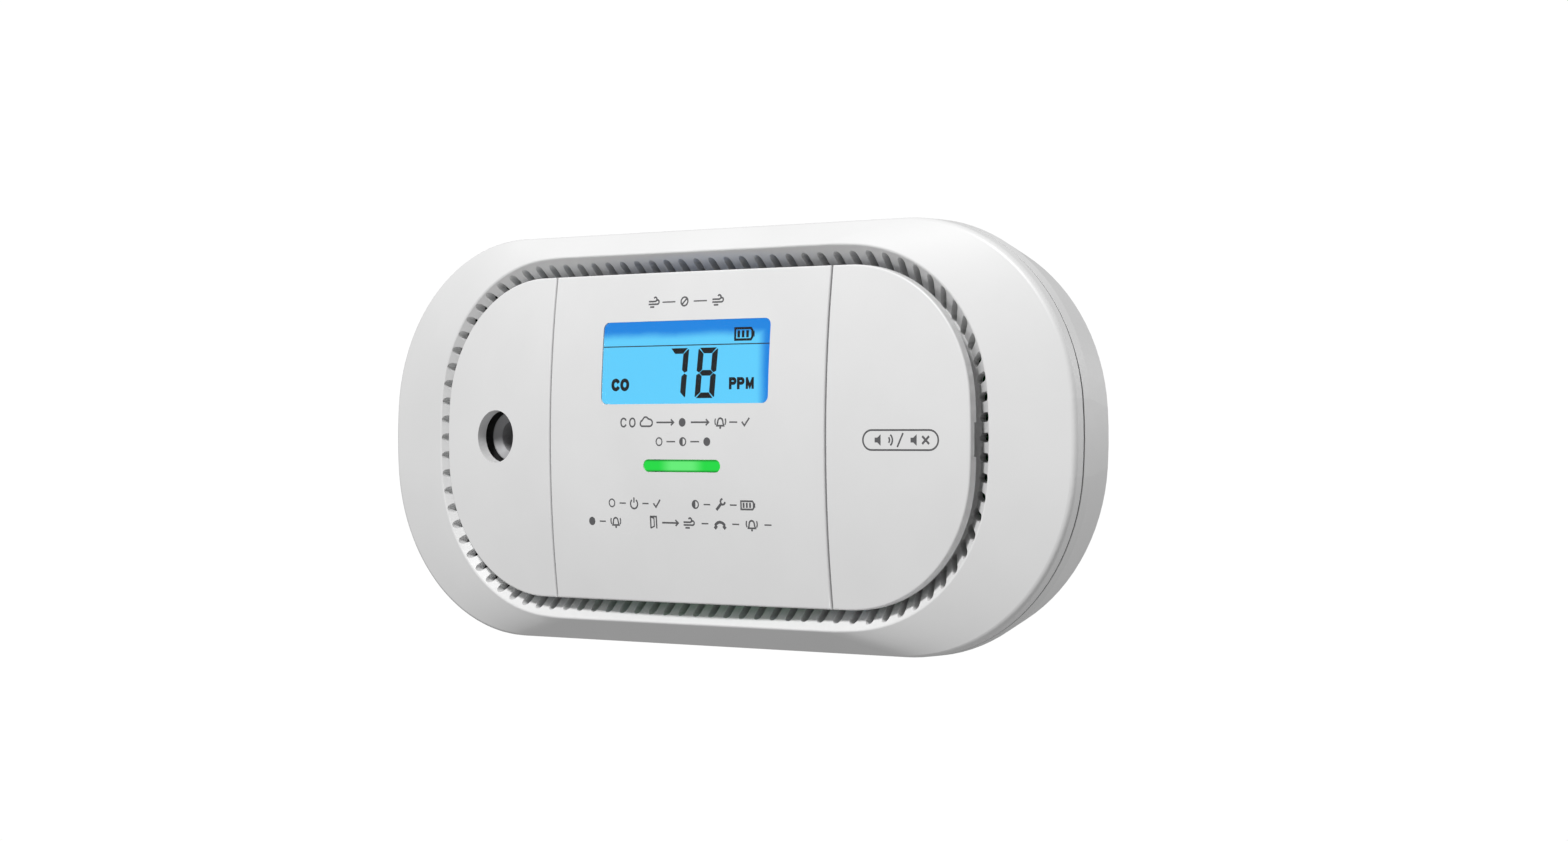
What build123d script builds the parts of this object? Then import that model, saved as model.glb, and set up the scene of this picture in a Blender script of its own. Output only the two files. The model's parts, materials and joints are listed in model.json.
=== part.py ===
from build123d import *
import math
import os

# Battery carbon monoxide alarm on its wall plate.
# Millimetres. X runs along the alarm, Z is up and -Y points into the room.
# "Height" below always means the distance out from the wall, so a height h lies at Y = -h.

# Ovals: half length, half height, corner radius, end radius
OUTER = (62.5, 30.0, 27.0, 65.0)
BAND = (62.5, 28.2, 26.0, 60.0)
RIM_TOP = (46.0, 26.7, 22.5, 80.0)
GROOVE_TOP = (51.4, 26.7, 22.5, 80.0)
RIM_INSIDE = (47.0, 25.0, 20.8, 80.0)
ISLAND = (48.1, 23.7, 19.7, 80.0)
PLATE = (46.0, 20.0, 12.0, 60.0)

# Heights of the main levels
PLATE_H = 2.6
REAR_H = 3.2
BAND_H = 20.9
PARTING_H = 27.1
LIP_H = 25.3
SHOULDER_H = 29.0
RIM_H = 32.3
APEX_H = 35.0
DECK_H = 28.0
DECK_UNDER_H = 26.6
BOARD_TOP_H = 26.2
BOARD_H = 24.6
TRAY_FLOOR_H = 22.6
RIM_INSIDE_H = (27.5, 30.5)

# Walls and gaps
WALL = 2.0
LIP = 1.2
GAP = 0.15
PARTING_GAP = 0.35
SEAL_INSET = (0.12, 1.3)
BACK_INSET = 13.6
SEAM_X = 25.4
SEAM_GAP = 0.26
PANEL_T = 1.4
GROOVE_WALL = 1.4
RUNNING = 0.05
STAKE_R = 1.6
STAKE_PIN_R = 0.9
CENTRE_STAKES = ((-23.3, 6.0), (23.3, 6.0), (-18.0, -16.0), (18.0, -16.0))
SOUNDER_STAKES = ((-29.0, 14.0), (-29.0, -14.0), (-41.0, 13.2), (-41.0, -13.0))

# Crown of the island and its edges
CROWN_R_X = 416.0
CROWN_R_Z = 165.0
EDGE_R = 0.25
SHOULDER_R = 0.8
CREST_R = 0.3

# Vent slots
SLOT_PITCH = 2.74
SLOT_W = 1.3
SLOT_LENGTH = 3.6
SLOT_INSET = 1.0
SCREEN_GAP = 0.12
SCREEN_T = 0.35
SCREEN_TOP_H = 28.8

# Display
FACE_X = 0.45
DISPLAY_Z = 10.75
WINDOW = (30.8, 11.9)
WINDOW_SINK = 0.15
GLASS = (32.6, 13.7)
LCD_H = 33.2
LCD_T = 1.8
LENS_GAP = 0.06
GASKET_T = 0.2
DISPLAY_FRAME_H = 31.6
DECK_WINDOW = (40.4, 20.9)

# Indicator
LED_Z = -4.05
LED_BAR = (14.0, 1.6)
LED_FOOT = (14.8, 2.4)
LED_X = (FACE_X - 4.0, FACE_X, FACE_X + 4.0)
LED_TOP_H = 27.1

# Sounder
SOUNDER = (-37.2, 0.15)
PORT_R = 3.95
PORT_COLLAR_R = 5.2
PORT_COLLAR_H = 31.2
SOUNDER_R = 11.0
SOUNDER_FLANGE_R = 12.2
CHIMNEY_R = 3.75
CHIMNEY_BORE_R = 2.5
CHIMNEY_H = 29.8
CHIMNEY_BEVEL = 0.7
PORT_SEAL_R = 7.4
PORT_SEAL_T = 1.2
SOUNDER_BACK_H = 16.0
DISC_SEAT_H = 19.2
LEAD_X = -23.9
LEAD_Z = (-2.5, 2.5)
LEAD_R = 0.4

# Gas sensor
SENSOR = (36.0, 0.0)
SENSOR_R = 10.0
SENSOR_H = (9.0, 23.6)
SENSOR_PINS = ((36.0, 7.0), (36.0, -7.0), (29.0, 0.0))

# Test button and its switch
HINGE_X = 27.6
HINGE_H = 30.6
HINGE_PIN_R = 0.8
SWITCH_X = 37.0
SWITCH_H = 29.6
PLUNGER_R = 1.7
STRIKER_R = 1.0
PLUNGER_TOP_H = 31.25
HINGE_LUG_Z = 11.5
HINGE_EAR_Z = 14.0
NOTCH_Z = (-2.6, 2.0)

# Battery bay and its door
CELL_R = 8.5
CELL_LENGTH = 33.4
CELL_H = 14.0
BAY_X = 20.6
BAY_Z = (-9.6, 10.9)
BAY_WALL = 1.6
DOOR_Z = -9.9
DOOR_AXIS_Z = 9.3
DOOR_AXIS_H = 4.6
DOOR_PIN_R = 0.8
DOOR_H = (3.25, 4.85)
DOOR_BARREL_R = 1.3

# Wall plate features
SCREW_SPACING = 60.0
SCREW_HOLE_R = 2.0
HOOK_X = 38.0
HOOK_W = 5.0
HOOK_Z = (-3.0, 0.0)
HOOK_NOSE = 2.5
LIFT = 3.5

# Fasteners
CASE_SCREW = (54.5, 11.0)
BOARD_SCREWS = ((-23.6, 17.5), (-23.6, -17.5), (40.0, 13.0), (40.0, -13.0))
BOARD_BOSS_H = 30.0

# Components on the board's underside: limits in X and Z, then how far they stand off it
CHIPS = ((-18.0, -11.0, -19.5, -12.6, 1.3), (-2.5, 2.5, -18.0, -14.0, 1.5), (9.0, 14.0, -18.0, -14.0, 1.5))
LEG_W = 0.4
LEG_DROP = 0.5
PASSIVE_ROWS = ((14, 17.4, 1.6, 0.8), (14, 13.6, 2.0, 1.2), (18, -17.0, 1.6, 0.8))
CAPACITOR = (3.15, 7.5)
CAPACITOR_AT = ((-16.0, 16.0), (-8.0, 16.0))
COIL_AT = (2.0, 16.4)
COIL_R = 3.6
COIL_T = 5.6


def level(height):
    """Plane parallel to the wall at a height, looked at from the front."""
    return Plane(origin=(0, -height, 0), x_dir=(1, 0, 0), z_dir=(0, -1, 0))


def solid(sketch, h0, h1):
    """A sketch drawn as seen from the front, made solid between two heights."""
    return extrude(level(h0) * sketch, h1 - h0, dir=(0, -1, 0))


def inset(size, amount):
    """The parallel oval that lies inside another one by an amount."""
    return tuple(value - amount for value in size)


def corner_centre(half_x, half_z, corner, end):
    """Centre of an oval's upper right corner arc."""
    corner_z = half_z - corner
    return (half_x - end + math.sqrt((end - corner) ** 2 - corner_z**2), corner_z)


def oval(half_x, half_z, corner, end):
    """Flat top and bottom, round corners and shallow arcs at both ends, all tangent."""
    end_x = half_x - end
    corner_x, corner_z = corner_centre(half_x, half_z, corner, end)
    reach = end / (end - corner)
    join = (end_x + (corner_x - end_x) * reach, corner_z * reach)
    half_turn = (math.pi / 2 + math.atan2(corner_z, corner_x - end_x)) / 2
    middle = (corner_x + corner * math.cos(half_turn), corner_z + corner * math.sin(half_turn))

    def at(point, side_x, side_z):
        return (side_x * point[0], side_z * point[1])

    top = (corner_x, half_z)
    edges = [
        Line(at(top, -1, 1), at(top, 1, 1)),
        ThreePointArc(at(top, 1, 1), at(middle, 1, 1), at(join, 1, 1)),
        ThreePointArc(at(join, 1, 1), (half_x, 0), at(join, 1, -1)),
        ThreePointArc(at(join, 1, -1), at(middle, 1, -1), at(top, 1, -1)),
        Line(at(top, 1, -1), at(top, -1, -1)),
        ThreePointArc(at(top, -1, -1), at(middle, -1, -1), at(join, -1, -1)),
        ThreePointArc(at(join, -1, -1), (-half_x, 0), at(join, -1, 1)),
        ThreePointArc(at(join, -1, 1), at(middle, -1, 1), at(top, -1, 1)),
    ]
    return Face(Wire(edges))


def prism(size, h0, h1):
    """Straight-sided solid of an oval between two heights."""
    return solid(oval(*size), h0, h1)


def taper(size0, h0, size1, h1):
    """Solid with straight sloping sides between two ovals."""
    return loft([level(h0) * oval(*size0), level(h1) * oval(*size1)], ruled=True)


def rod(x, z, radius, h0, h1):
    """Round bar that stands out from the wall."""
    return solid(Pos(x, z) * Circle(radius), h0, h1)


def ring(x, z, outer_r, inner_r, h0, h1):
    """Round bar with a bore."""
    return rod(x, z, outer_r, h0, h1) - rod(x, z, inner_r, h0, h1)


def block(x0, x1, z0, z1, h0, h1):
    """Box given by its limits."""
    middle = Pos((x0 + x1) / 2, -(h0 + h1) / 2, (z0 + z1) / 2)
    return middle * Box(x1 - x0, h1 - h0, z1 - z0)


def panel_block(size, radius, centre_z, h0, h1):
    """Box with rounded corners, centred on the display's middle line."""
    return solid(Pos(FACE_X, centre_z) * RectangleRounded(size[0], size[1], radius), h0, h1)


def frame_block(outer, inner, radius, centre_z, h0, h1):
    """Rectangular ring, centred on the display's middle line."""
    outside = panel_block(outer, radius + 1, centre_z, h0, h1)
    return outside - panel_block(inner, radius, centre_z, h0, h1)


def bar_along_x(x0, x1, z, height, radius):
    """Round bar along X."""
    return Pos((x0 + x1) / 2, -height, z) * Rot(0, 90, 0) * Cylinder(radius, x1 - x0)


def bar_along_z(x, z0, z1, height, radius):
    """Round bar along Z."""
    return Pos(x, -height, (z0 + z1) / 2) * Cylinder(radius, z1 - z0)


def four_ways(x, z):
    """The four places at plus and minus x and z."""
    return [(side_x * x, side_z * z) for side_x in (-1, 1) for side_z in (-1, 1)]


def crown_height(x, z):
    """Height of the island's front surface at a place."""
    return APEX_H - x**2 / (2 * CROWN_R_X) - z**2 / (2 * CROWN_R_Z)


def crown(drop0, drop1):
    """Doubly curved layer between two depths below the island's front surface."""
    half_x, half_z = 56.0, 28.0
    rise_x = half_x**2 / (2 * CROWN_R_X)
    rise_z = half_z**2 / (2 * CROWN_R_Z)

    def control(side_x, side_z):
        bend_x = rise_x if side_x else -rise_x
        bend_z = rise_z if side_z else -rise_z
        return (side_x * half_x, drop0 - APEX_H + bend_x + bend_z, side_z * half_z)

    rows = [[control(side_x, side_z) for side_z in (-1, 0, 1)] for side_x in (-1, 0, 1)]
    return extrude(Face.make_bezier_surface(rows), drop1 - drop0, dir=(0, 1, 0))


def island_panel(x0, x1):
    """The part of the island's skin between two upright planes, with eased front edges."""
    outline = prism(ISLAND, DECK_H, APEX_H + 1) & block(x0, x1, -30, 30, DECK_H, APEX_H + 1)
    piece = crown(0, PANEL_T) & outline
    front = piece.faces().sort_by(Axis.Y)[0]
    return fillet(front.edges(), EDGE_R)


def stake(x, z):
    """Post from the island's skin down to the deck, with a pin through the deck."""
    post = rod(x, z, STAKE_R, DECK_H, crown_height(x, z) - PANEL_T / 2)
    return post + rod(x, z, STAKE_PIN_R, DECK_UNDER_H - GAP, DECK_H)


def centre_panel():
    panel = island_panel(-SEAM_X + SEAM_GAP / 2, SEAM_X - SEAM_GAP / 2)
    panel -= panel_block(WINDOW, 1.0, DISPLAY_Z, DECK_H, APEX_H + 1)
    pocket = (GLASS[0] + 2 * GAP, GLASS[1] + 2 * GAP)
    panel -= panel_block(pocket, 0.6, DISPLAY_Z, DECK_H, LCD_H + GASKET_T + RUNNING)
    slot = SlotOverall(LED_BAR[0] + 0.2, LED_BAR[1] + 0.2)
    panel -= solid(Pos(FACE_X, LED_Z) * slot, DECK_H, APEX_H + 1)
    for x, z in CENTRE_STAKES:
        panel += stake(x, z)
    return panel


def sounder_panel():
    panel = island_panel(-ISLAND[0] - 1, -SEAM_X - SEAM_GAP / 2)
    panel += rod(*SOUNDER, PORT_COLLAR_R, PORT_COLLAR_H, crown_height(*SOUNDER) - PANEL_T / 2 - 0.3)
    panel -= rod(*SOUNDER, PORT_R, DECK_H, APEX_H + 1)
    for x, z in SOUNDER_STAKES:
        panel += stake(x, z)
    return panel


def test_button():
    button = island_panel(SEAM_X + SEAM_GAP / 2, ISLAND[0] + 1)
    end_h = crown_height(ISLAND[0], 0)
    button -= block(ISLAND[0] - 0.7, ISLAND[0] + 1, *NOTCH_Z, end_h - 3, end_h - 0.95)
    for z in (-HINGE_LUG_Z, HINGE_LUG_Z):
        lug_top = crown_height(HINGE_X, z) - 0.9
        button += block(HINGE_X - 1.3, HINGE_X + 1.3, z - 0.9, z + 0.9, HINGE_H - 1.3, lug_top)
    button -= bar_along_z(HINGE_X, -16, 16, HINGE_H, HINGE_PIN_R + RUNNING)
    striker_top = crown_height(SWITCH_X, 0) - PANEL_T / 2
    return button + rod(SWITCH_X, 0, STRIKER_R, PLUNGER_TOP_H + RUNNING, striker_top)


def button_hinge_pin():
    return bar_along_z(HINGE_X, -15.4, 15.4, HINGE_H, HINGE_PIN_R)


def groove_oval(height, outward=0.0):
    """Section of the groove's 45 degree wall at a height, moved outward for its underside."""
    return inset(GROOVE_TOP, RIM_H - height - outward)


def vent_slots():
    """Radial slots through the groove's wall, evenly spaced from the middle of its top."""
    size = inset(GROOVE_TOP, SLOT_INSET)
    path = oval(*size).outer_wire()
    count = 4 * round(path.length / SLOT_PITCH / 4)
    cuts = []
    for index in range(count):
        distance = (corner_centre(*size)[0] + index * path.length / count) % path.length
        spot = path.position_at(distance, position_mode=PositionMode.LENGTH)
        along = path.tangent_at(distance, position_mode=PositionMode.LENGTH)
        inward = Vector(along.Y, -along.X)
        if inward.dot(spot) > 0:
            inward = -inward
        middle = spot + inward * (SLOT_LENGTH / 2)
        turn = math.degrees(math.atan2(inward.Y, inward.X))
        slot = Pos(middle.X, middle.Y) * Rot(0, 0, turn) * SlotOverall(SLOT_LENGTH, SLOT_W)
        cuts.append(solid(slot, DECK_UNDER_H - 0.5, RIM_H + 1))
    return cuts


def front_cover():
    skin = prism(OUTER, PARTING_H, SHOULDER_H) + taper(OUTER, SHOULDER_H, RIM_TOP, RIM_H)
    shoulder = skin.edges().filter_by(lambda edge: abs(edge.center().Y + SHOULDER_H) < 0.01)
    skin = fillet(shoulder, SHOULDER_R)
    skin -= taper(groove_oval(DECK_H), DECK_H, groove_oval(RIM_H + 1), RIM_H + 1)

    def on_crest(edge):
        return all(vertex.Y < -RIM_H + 1.2 for vertex in edge.vertices())

    skin = fillet(skin.edges().filter_by(on_crest), CREST_R)
    skin += prism(inset(OUTER, WALL + GAP), LIP_H, PARTING_H)

    inner = inset(OUTER, WALL + LIP)
    hollow = prism(inner, LIP_H, RIM_INSIDE_H[0])
    hollow += taper(inner, RIM_INSIDE_H[0], RIM_INSIDE, RIM_INSIDE_H[1])
    outward = GROOVE_WALL * math.sqrt(2)
    under = taper(
        groove_oval(DECK_UNDER_H, outward), DECK_UNDER_H, groove_oval(RIM_H, outward), RIM_H
    )
    cover = skin - (hollow - under) + prism(groove_oval(DECK_H, 0.1), DECK_UNDER_H, DECK_H)

    for x, z in four_ways(*CASE_SCREW):
        cover += rod(x, z, 2.9, BAND_H, SHOULDER_H)
        cover -= rod(x, z, 1.3 + RUNNING, BAND_H, SHOULDER_H - 1.5)
    for x, z in BOARD_SCREWS:
        cover += rod(x, z, 2.2, BOARD_TOP_H, BOARD_BOSS_H)
        cover -= rod(x, z, 1.0 + RUNNING, BOARD_TOP_H, BOARD_BOSS_H - 0.6)
    for z in (-HINGE_EAR_Z, HINGE_EAR_Z):
        cover += block(HINGE_X - 1.5, HINGE_X + 1.5, z - 0.8, z + 0.8, DECK_H, HINGE_H + 1.1)
    cover -= bar_along_z(HINGE_X, -16, 16, HINGE_H, HINGE_PIN_R + RUNNING)

    cover -= panel_block(DECK_WINDOW, 1.0, DISPLAY_Z, DECK_UNDER_H - 1, DECK_H + 1)
    pipe_hole = SlotOverall(LED_FOOT[0] + 0.4, LED_FOOT[1] + 0.4)
    cover -= solid(Pos(FACE_X, LED_Z) * pipe_hole, DECK_UNDER_H - 1, DECK_H + 1)
    cover -= block(SWITCH_X - 4.5, SWITCH_X + 4.5, -4.5, 4.5, DECK_UNDER_H - 1, DECK_H + 1)
    cover -= rod(*SOUNDER, CHIMNEY_R + GAP, DECK_UNDER_H - 1, DECK_H + 1)
    for x, z in CENTRE_STAKES + SOUNDER_STAKES:
        cover -= rod(x, z, STAKE_PIN_R + RUNNING, DECK_UNDER_H - 1, DECK_H)
    return cover - vent_slots()


def case_seal():
    """Thin dark seal in the joint between the covers, set back from the outside."""
    near, far = SEAL_INSET
    seal = prism(inset(OUTER, near), PARTING_H - PARTING_GAP, PARTING_H)
    return seal - prism(inset(OUTER, far), PARTING_H - PARTING_GAP, PARTING_H)


def dust_screen():
    """Fine mesh behind the slots, kept clear of the groove's underside."""
    near = GROOVE_WALL * math.sqrt(2) + SCREEN_GAP
    far = near + SCREEN_T
    low, high = DECK_UNDER_H + 0.1, SCREEN_TOP_H
    outside = taper(groove_oval(low, far), low, groove_oval(high, far), high)
    return outside - taper(groove_oval(low, near), low, groove_oval(high, near), high)


def rear_cover():
    top = PARTING_H - PARTING_GAP
    back = inset(BAND, BACK_INSET)
    slope = BACK_INSET / (BAND_H - REAR_H)
    side_inset = WALL * math.sqrt(1 + slope**2)
    floor_h = REAR_H + WALL
    crease_h = BAND_H + (side_inset - WALL) / slope
    floor_inset = (BAND_H - floor_h) * slope + side_inset

    outside = taper(back, REAR_H, BAND, BAND_H)
    straight_h = LIP_H - GAP
    cover = outside + taper(BAND, BAND_H, OUTER, straight_h) + prism(OUTER, straight_h, top)
    cover -= prism(inset(OUTER, WALL), straight_h, top)
    cover -= taper(inset(BAND, WALL), crease_h, inset(OUTER, WALL), straight_h)
    cover -= taper(inset(BAND, floor_inset), floor_h, inset(BAND, WALL), crease_h)

    cover += block(
        -BAY_X - BAY_WALL, BAY_X + BAY_WALL, BAY_Z[0] - BAY_WALL, BAY_Z[1] + BAY_WALL,
        REAR_H, TRAY_FLOOR_H + 1.2,
    )
    cover -= block(-BAY_X, BAY_X, *BAY_Z, DOOR_H[1] + 0.1, TRAY_FLOOR_H)
    cover -= block(-BAY_X, BAY_X, DOOR_Z - 0.2, BAY_Z[1], REAR_H - 1, DOOR_H[1] + 0.1)
    pin_reach = BAY_X + 1.35
    cover -= bar_along_x(-pin_reach, pin_reach, DOOR_AXIS_Z, DOOR_AXIS_H, DOOR_PIN_R + RUNNING)
    finger = Pos(0, -REAR_H, DOOR_Z - 0.2) * Sphere(3.2)
    cover -= finger & block(-5, 5, DOOR_Z - 6, DOOR_Z + 1, REAR_H - 1, REAR_H + 1.2)

    for x, z in four_ways(*CASE_SCREW):
        cover += rod(x, z, 4.4, 8, BAND_H - 0.1) & outside
        cover -= rod(x, z, 3.0, 2, BAND_H - 2.2)
        cover -= rod(x, z, 1.3 + GAP, BAND_H - 3, BAND_H + 1)
    for x in (-HOOK_X, HOOK_X):
        half = HOOK_W / 2 + 0.3
        cover -= block(
            x - half, x + half, HOOK_Z[0] - LIFT - 0.4, HOOK_Z[1] + RUNNING, REAR_H - 1, floor_h + 1
        )
    for positive in (True, False):
        cover -= contact_tail(positive, 0.1, TRAY_FLOOR_H - 1, TRAY_FLOOR_H + 3)
    return cover


def contact_tail(positive, clearance, h0, h1):
    """Tail of a battery contact, on its way through the tray's floor and the board."""
    side = 1 if positive else -1
    x = side * (BAY_X - 0.45)
    half_x, half_z = 0.3 + clearance, 1.5 + clearance
    return block(x - half_x, x + half_x, -half_z, half_z, h0, h1)


def battery_contact_positive():
    blade = block(BAY_X - 0.75, BAY_X - 0.15, -5, 5, CELL_H - 6, TRAY_FLOOR_H - 0.2)
    reach = BAY_X - 0.75 - (CELL_LENGTH / 2 + 1.1)
    bump = Pos(BAY_X - 0.75 - reach / 2 + 0.1, -CELL_H, 0) * Rot(0, 90, 0) * Cone(2.6, 2.0, reach)
    bump -= bar_along_x(BAY_X - 0.76, BAY_X + 1, 0, CELL_H, 1.2)
    return blade + bump + contact_tail(True, 0, TRAY_FLOOR_H - 0.2, BOARD_TOP_H)


def battery_contact_negative():
    """Blade with a conical coil spring that presses on the cell's flat end."""
    blade = block(-BAY_X + 0.15, -BAY_X + 0.75, -5, 5, CELL_H - 6, TRAY_FLOOR_H - 0.2)
    turns, wire_r = 2.5, 0.4
    start = -BAY_X + 0.75 + wire_r
    travel = -CELL_LENGTH / 2 - start - wire_r
    helix = Helix(pitch=travel / turns, height=travel, radius=4.0, center=(0, 0, 0), cone_angle=-18)
    profile = Plane(origin=helix @ 0, z_dir=helix % 0) * Circle(wire_r)
    coil = sweep(profile, path=helix)
    coil = Pos(start, -CELL_H, 0) * Rot(0, 90, 0) * coil
    foot = bar_along_x(-BAY_X + 0.7, start + 0.1, 4.0, CELL_H, 0.6)
    return blade + foot + coil + contact_tail(False, 0, TRAY_FLOOR_H - 0.2, BOARD_TOP_H)


def battery_cell():
    inner_r = CELL_R - 0.2
    cell = bar_along_x(-CELL_LENGTH / 2, CELL_LENGTH / 2, 0, CELL_H, inner_r)
    return cell + bar_along_x(CELL_LENGTH / 2, CELL_LENGTH / 2 + 1.1, 0, CELL_H, 3.2)


def battery_sleeve():
    half = CELL_LENGTH / 2 - 0.6
    sleeve = bar_along_x(-half, half, 0, CELL_H, CELL_R)
    return sleeve - bar_along_x(-half - 1, half + 1, 0, CELL_H, CELL_R - 0.19)


def battery_door():
    width = BAY_X - GAP
    door = block(-width, width, DOOR_Z, DOOR_AXIS_Z, *DOOR_H)
    door += bar_along_x(-width, width, DOOR_AXIS_Z, DOOR_AXIS_H, DOOR_BARREL_R)
    door += bar_along_x(-width - 1.3, width + 1.3, DOOR_AXIS_Z, DOOR_AXIS_H, DOOR_PIN_R)
    for z in (-7.6, -6.6, -5.6):
        door -= block(-6, 6, z - 0.2, z + 0.2, DOOR_H[0], DOOR_H[0] + 0.35)
    return door


def battery_label():
    return solid(Pos(0, 1.2) * RectangleRounded(32, 9, 0.8), DOOR_H[0] - 0.12, DOOR_H[0])


def wall_plate():
    plate = prism(PLATE, 0, PLATE_H)
    plate -= solid(Pos(0, 1.85) * RectangleRounded(46, 27.3, 2), -1, PLATE_H + 1)
    for x in (-SCREW_SPACING / 2, SCREW_SPACING / 2):
        plate -= rod(x, 0, SCREW_HOLE_R, -1, PLATE_H + 1)
        sink = Cone(SCREW_HOLE_R + 1.6, SCREW_HOLE_R, 1.6)
        plate -= Pos(x, -PLATE_H + 0.8, 0) * Rot(-90, 0, 0) * sink
    nose_h = REAR_H + WALL + 0.3
    for x in (-HOOK_X, HOOK_X):
        plate += block(x - HOOK_W / 2, x + HOOK_W / 2, *HOOK_Z, PLATE_H, nose_h + 1.4)
        plate += block(
            x - HOOK_W / 2, x + HOOK_W / 2, HOOK_Z[1], HOOK_Z[1] + HOOK_NOSE, nose_h, nose_h + 1.4
        )
    return plate


def circuit_board():
    outline = RectangleRounded(98, 40, 4) - Pos(*SOUNDER) * Circle(SOUNDER_FLANGE_R + 0.3)
    board = solid(outline, BOARD_H, BOARD_TOP_H)
    for x, z in BOARD_SCREWS:
        board -= rod(x, z, 1.2, BOARD_H, BOARD_TOP_H)
    for x, z in SENSOR_PINS:
        board -= rod(x, z, 0.6, BOARD_H, BOARD_TOP_H)
    for z in LEAD_Z:
        board -= rod(LEAD_X, z, LEAD_R + 0.1, BOARD_H, BOARD_TOP_H)
    for positive in (True, False):
        board -= contact_tail(positive, 0.1, BOARD_H, BOARD_TOP_H)
    return board


def board_chips():
    return Part() + [block(*limits, BOARD_H - drop, BOARD_H) for *limits, drop in CHIPS]


def chip_pins():
    """Legs of the three chips: both sides of the wide one, above and below the small ones."""
    legs_h = (BOARD_H - LEG_DROP, BOARD_H)
    wide, *small = CHIPS
    legs = []
    for step in range(7):
        z = wide[2] + 0.6 + step * 0.95
        legs.append(block(wide[0] - 0.9, wide[0], z, z + LEG_W, *legs_h))
        legs.append(block(wide[1], wide[1] + 0.9, z, z + LEG_W, *legs_h))
    for x0, _, z0, z1, _ in small:
        for step in range(4):
            x = x0 + 0.4 + step * 1.27
            legs.append(block(x, x + LEG_W, z1, z1 + 1, *legs_h))
            legs.append(block(x, x + LEG_W, z0 - 1, z0, *legs_h))
    return Part() + legs


def board_passives():
    """Rows of small chip resistors and capacitors above and below the battery tray."""
    rows = []
    for x0, z0, length, width in PASSIVE_ROWS:
        for step in range(4):
            x = x0 + 4 * step
            rows.append(block(x, x + length, z0, z0 + width, BOARD_H - width / 2 - 0.2, BOARD_H))
    return Part() + rows


def capacitors():
    radius, length = CAPACITOR
    return Part() + [rod(x, z, radius, BOARD_H - length, BOARD_H) for x, z in CAPACITOR_AT]


def inductor():
    """Drum core: two flanges on a thinner middle."""
    core = rod(*COIL_AT, COIL_R, BOARD_H - COIL_T, BOARD_H)
    return core - ring(*COIL_AT, COIL_R + 1, 2.2, BOARD_H - COIL_T + 1, BOARD_H - 1)


def inductor_winding():
    return ring(*COIL_AT, COIL_R - 0.3, 2.25, BOARD_H - COIL_T + 1.05, BOARD_H - 1.05)


def display_window():
    """Clear lens, flat at the back and crowned with the island at the front."""
    lens = (WINDOW[0] - 0.1, WINDOW[1] - 0.1)
    blank = panel_block(lens, 0.95, DISPLAY_Z, LCD_H + LENS_GAP, APEX_H + 1)
    return crown(WINDOW_SINK, WINDOW_SINK + 4) & blank


def display_gasket():
    opening = (WINDOW[0] + 0.3, WINDOW[1] + 0.3)
    return frame_block(GLASS, opening, 0.4, DISPLAY_Z, LCD_H, LCD_H + GASKET_T)


def display_glass():
    return panel_block(GLASS, 0.4, DISPLAY_Z, LCD_H - LCD_T, LCD_H)


def display_backlight():
    size = (GLASS[0] - 0.4, GLASS[1] - 2.8)
    return panel_block(size, 0.5, DISPLAY_Z + 1.2, BOARD_TOP_H + 1.4, LCD_H - LCD_T - 0.1)


def zebra_strip():
    z0 = DISPLAY_Z - GLASS[1] / 2 + 0.1
    return block(FACE_X - 15, FACE_X + 15, z0, z0 + 1.9, BOARD_TOP_H, LCD_H - LCD_T)


def display_frame():
    outer = (GLASS[0] + 4.4, GLASS[1] + 3.8)
    inner = (GLASS[0] + 0.3, GLASS[1] + 0.3)
    return frame_block(outer, inner, 0.4, DISPLAY_Z, BOARD_TOP_H, DISPLAY_FRAME_H)


def light_pipe():
    bar = solid(Pos(FACE_X, LED_Z) * SlotOverall(*LED_BAR), LED_TOP_H + 0.2, APEX_H + 1)
    foot = solid(Pos(FACE_X, LED_Z) * SlotOverall(*LED_FOOT), LED_TOP_H + 0.3, DECK_H + 2)
    return (bar & crown(0.08, 12)) + foot


def status_leds():
    """Three chips side by side, one for each colour of the light."""
    half_x, half_z = 0.8, 0.5
    limits = (LED_Z - half_z, LED_Z + half_z, BOARD_TOP_H, LED_TOP_H)
    return Part() + [block(x - half_x, x + half_x, *limits) for x in LED_X]


def test_switch_body():
    body = block(SWITCH_X - 3, SWITCH_X + 3, -3, 3, BOARD_TOP_H, SWITCH_H)
    return body - rod(SWITCH_X, 0, PLUNGER_R + 0.1, SWITCH_H - 2, SWITCH_H)


def test_switch_plunger():
    return rod(SWITCH_X, 0, PLUNGER_R, SWITCH_H - 1.4, PLUNGER_TOP_H)


def sounder_housing():
    x, z = SOUNDER
    body = rod(x, z, SOUNDER_R, SOUNDER_BACK_H, DECK_UNDER_H)
    body += rod(x, z, SOUNDER_FLANGE_R, DECK_UNDER_H - 1.2, DECK_UNDER_H)
    body += rod(x, z, CHIMNEY_R, DECK_UNDER_H, CHIMNEY_H)
    body -= rod(x, z, 9.2, DISC_SEAT_H, DECK_UNDER_H - 1.4)
    body -= rod(x, z, 10.1, SOUNDER_BACK_H, DISC_SEAT_H)
    body -= rod(x, z, CHIMNEY_BORE_R, DISC_SEAT_H, CHIMNEY_H)
    funnel = Cone(CHIMNEY_BORE_R, CHIMNEY_R - 0.15, CHIMNEY_BEVEL)
    return body - level(CHIMNEY_H - CHIMNEY_BEVEL / 2) * Pos(x, z) * funnel


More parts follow.
